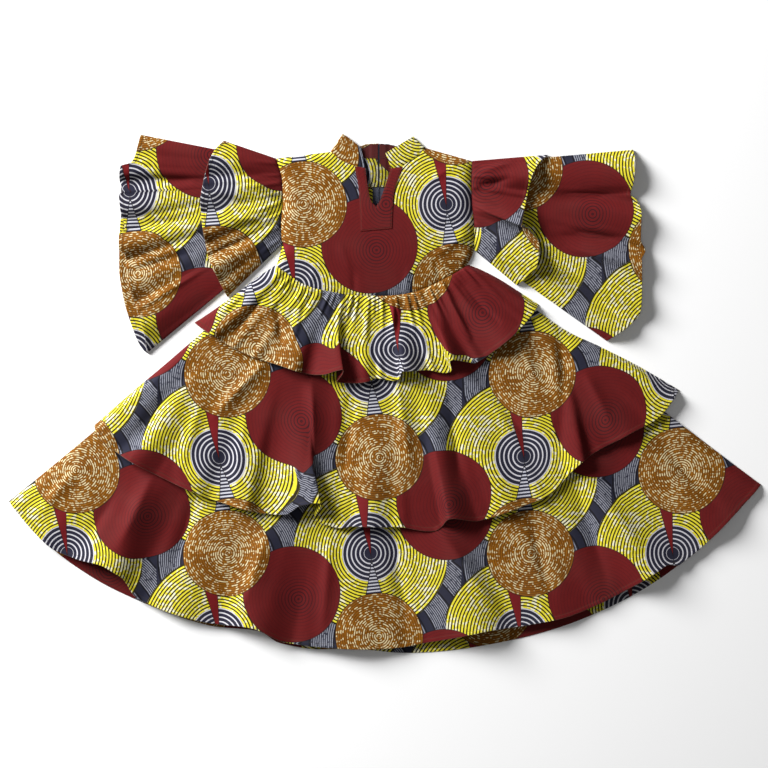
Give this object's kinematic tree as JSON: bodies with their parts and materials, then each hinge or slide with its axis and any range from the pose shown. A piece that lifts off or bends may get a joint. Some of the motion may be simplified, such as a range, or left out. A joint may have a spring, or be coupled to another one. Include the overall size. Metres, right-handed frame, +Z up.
{
  "type": "three-flounce dress laid flat",
  "caption": "Knee-length cotton dress laid flat face up, with a peplum and two longer circular flounces, bell sleeves, a stand collar and a slit neck.",
  "frame": {"origin": "centre of the bounding box on the surface the dress lies on", "axes": "+X across the dress to the right of the picture, +Y from the hem to the collar, +Z up from the surface"},
  "size_m": [1.5035, 1.0377, 0.0483],
  "materials": {
    "print_cotton": "matte printed cotton",
    "zip_navy": "matte woven tape with a nylon coil"
  },
  "bodies": {
    "root": {"skirt_front": "print_cotton", "skirt_back": "print_cotton", "tier_front": "print_cotton", "tier_back": "print_cotton", "peplum_front": "print_cotton", "peplum_back": "print_cotton", "bodice_front": "print_cotton", "bodice_back_left": "print_cotton", "bodice_back_right": "print_cotton", "neck_placket": "print_cotton", "collar_left": "print_cotton", "collar_right": "print_cotton", "back_zip": "zip_navy", "neck_facing_left": "print_cotton", "neck_facing_right": "print_cotton", "collar_facing_left": "print_cotton", "collar_facing_right": "print_cotton", "sleeve_upper_left": "print_cotton", "sleeve_upper_right": "print_cotton", "sleeve_lower_left": "print_cotton", "sleeve_lower_right": "print_cotton"}
  },
  "joints": []
}
